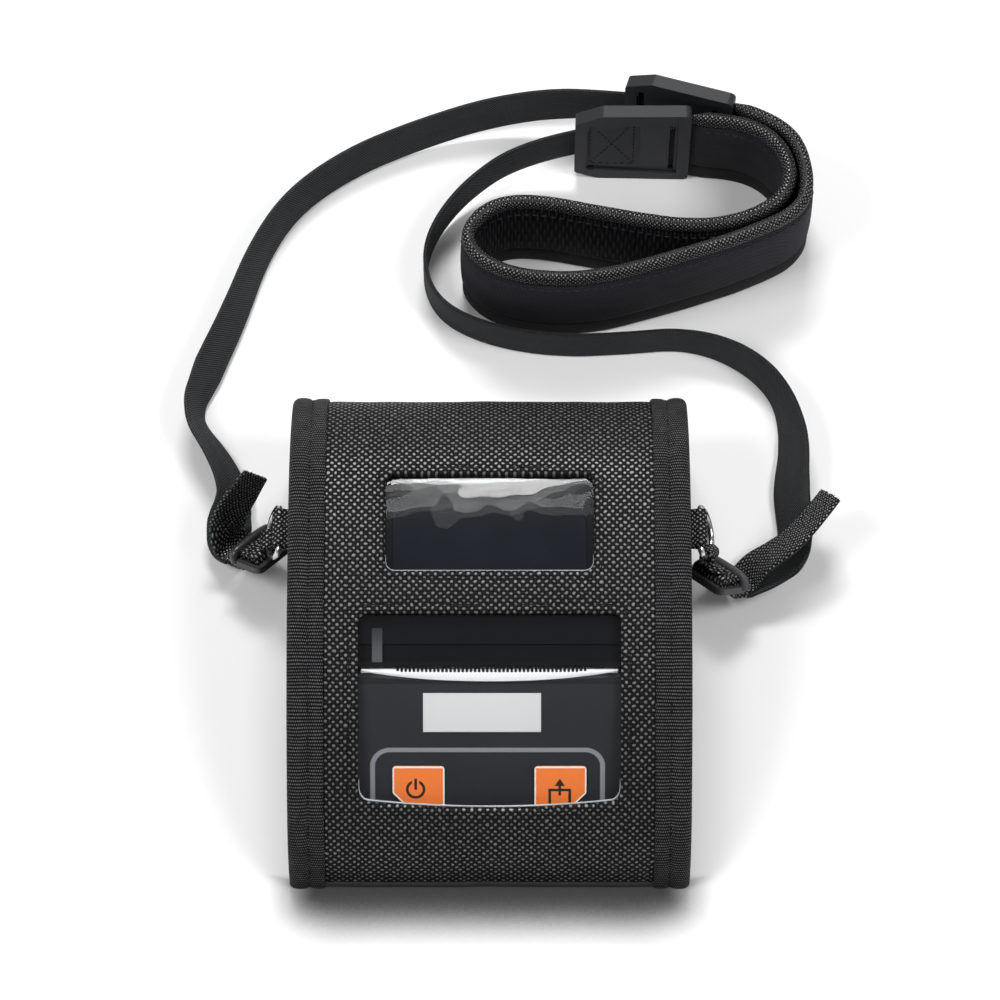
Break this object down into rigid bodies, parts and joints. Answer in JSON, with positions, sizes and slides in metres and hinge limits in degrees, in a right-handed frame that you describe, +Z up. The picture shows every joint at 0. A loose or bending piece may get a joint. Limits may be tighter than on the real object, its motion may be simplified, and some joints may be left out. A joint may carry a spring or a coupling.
{
  "type": "portable receipt printer in a carrying case",
  "caption": "Receipt printer with paper roll, lid and keys inside a nylon case with a wrap-around windowed flap and a padded shoulder strap.",
  "frame": {"origin": "centre of the case's back panel, on the surface it lies on", "axes": "+Z up out of the case's back, +Y from the near end towards the flap's hinge, +X to the right"},
  "size_m": [0.2087, 0.2758, 0.0605],
  "materials": {
    "nylon": "coarse basket weave, coated",
    "binding": "cross-ribbed tape",
    "hem": "smooth folded tape",
    "gusset_fabric": "fine weave",
    "clear_film": "clear flexible vinyl, slightly wavy",
    "fastener_tape": "hook and loop pile",
    "webbing": "fine twill webbing",
    "webbing_coarse": "coarse glossy weave",
    "pad_fabric": "padded, bound edges",
    "moulded_black": "fine satin",
    "ring_steel": "bright wire",
    "housing_grey": "fine texture",
    "base_black": "fine texture",
    "overlay_film": "printed film",
    "plate_silver": "blank label",
    "button_orange": "satin key with white print",
    "window_smoke": "smoked, glossy",
    "steel": "plain steel",
    "rubber_roller": "ground rubber",
    "gear_plastic": "moulded",
    "bush_plastic": "moulded",
    "head_ceramic": "glazed strip",
    "sink_aluminium": "extruded",
    "board_green": "solder mask",
    "battery_sleeve": "sleeve",
    "paper_white": "thermal paper",
    "core_board": "wound board"
  },
  "bodies": {
    "case": {"case_back": "nylon", "case_gusset_left": "gusset_fabric", "case_gusset_right": "gusset_fabric", "body_binding_left": "binding", "body_binding_right": "binding", "loop_tape": "fastener_tape", "ring_tab_left": "webbing_coarse", "ring_tab_right": "webbing_coarse", "base_shell": "base_black", "upper_housing": "housing_grey", "panel_overlay": "overlay_film", "name_plate": "plate_silver", "housing_screws": "steel", "main_board": "board_green", "key_switches": "bush_plastic", "battery_pack": "battery_sleeve", "battery_cover": "base_black", "lid_hinge_pin": "steel", "motor": "steel", "gear_plate": "steel", "head_pivot_pin": "steel", "head_bracket": "steel", "head_springs": "steel", "paper_web": "paper_white", "shoulder_pad": "pad_fabric", "pad_fitting_far": "moulded_black", "pad_fitting_near": "moulded_black", "slider_left": "moulded_black", "slider_right": "moulded_black", "strap_web_left": "webbing", "strap_web_right": "webbing", "strap_tail_left": "webbing_coarse", "strap_tail_right": "webbing_coarse", "strap_loop_left": "webbing_coarse", "strap_loop_right": "webbing_coarse"},
    "flap": {"flap_panel": "nylon", "flap_binding_left": "binding", "flap_binding_right": "binding", "flap_hem": "hem", "window_film_upper": "clear_film", "window_film_lower": "clear_film", "hook_tape": "fastener_tape"},
    "lid": {"paper_lid": "housing_grey", "lid_window": "window_smoke", "tear_bar": "base_black", "platen_bushes": "bush_plastic"},
    "platen": {"platen_roller": "rubber_roller", "platen_shaft": "steel", "platen_gear": "gear_plastic"},
    "roll": {"paper_roll": "paper_white", "paper_core": "core_board"},
    "idler": {"idler_gear": "gear_plastic"},
    "pinion": {"motor_pinion": "steel"},
    "head": {"print_head": "head_ceramic", "head_heat_sink": "sink_aluminium"},
    "power_key": {"power_button": "button_orange"},
    "feed_key": {"feed_button": "button_orange"},
    "release_key": {"release_button": "housing_grey"},
    "ring_left": {"d_ring_left": "ring_steel"},
    "ring_right": {"d_ring_right": "ring_steel"}
  },
  "joints": [
    {"name": "flap_hinge", "type": "hinge", "parent": "case", "child": "flap", "pos_m": [0, 0.077, 0.03], "axis": [-1, 0, 0], "range_deg": [0, 110]},
    {"name": "lid_hinge", "type": "hinge", "parent": "case", "child": "lid", "pos_m": [0, 0.06135, 0.04061], "axis": [-1, 0, 0], "range_deg": [0, 80]},
    {"name": "roll_spin", "type": "hinge", "parent": "case", "child": "roll", "pos_m": [0, 0.036, 0.0299], "axis": [1, 0, 0], "continuous": true},
    {"name": "platen_spin", "type": "hinge", "parent": "lid", "child": "platen", "pos_m": [0, -0.0135, 0.0385], "axis": [1, 0, 0], "continuous": true},
    {"name": "idler_spin", "type": "hinge", "parent": "case", "child": "idler", "pos_m": [0, -0.01486, 0.0241], "axis": [1, 0, 0], "continuous": true},
    {"name": "pinion_spin", "type": "hinge", "parent": "case", "child": "pinion", "pos_m": [0, -0.02339, 0.01558], "axis": [1, 0, 0], "continuous": true},
    {"name": "head_tilt", "type": "hinge", "parent": "case", "child": "head", "pos_m": [0, -0.02275, 0.0314], "axis": [1, 0, 0], "range_deg": [0, 2.5], "stiffness_Nm_per_rad": 1.5, "springref_deg": -2.86, "deforming": ["head_springs"]},
    {"name": "power_press", "type": "slide", "parent": "case", "child": "power_key", "axis": [0, 0.6385, -0.7697], "range_m": [0, 0.0006], "stiffness_N_per_m": 900},
    {"name": "feed_press", "type": "slide", "parent": "case", "child": "feed_key", "axis": [0, 0.6385, -0.7697], "range_m": [0, 0.0006], "stiffness_N_per_m": 900},
    {"name": "release_press", "type": "slide", "parent": "case", "child": "release_key", "axis": [-1, 0, 0], "range_m": [0, 0.0006], "stiffness_N_per_m": 600},
    {"name": "ring_left_swing", "type": "hinge", "parent": "case", "child": "ring_left", "pos_m": [-0.067, 0.034, 0.028], "axis": [0, 1, 0], "range_deg": [0, 12], "deforming": ["strap_loop_left"]},
    {"name": "ring_right_swing", "type": "hinge", "parent": "case", "child": "ring_right", "pos_m": [0.067, 0.034, 0.028], "axis": [0, -1, 0], "range_deg": [0, 12], "deforming": ["strap_loop_right"]}
  ],
  "couplings": [
    {"joint": "lid_hinge", "follows": "flap_hinge", "ratio": 0.72},
    {"joint": "platen_spin", "follows": "roll_spin", "ratio": 3.8333},
    {"joint": "idler_spin", "follows": "roll_spin", "ratio": -2.7381},
    {"joint": "pinion_spin", "follows": "roll_spin", "ratio": 6.3889}
  ]
}
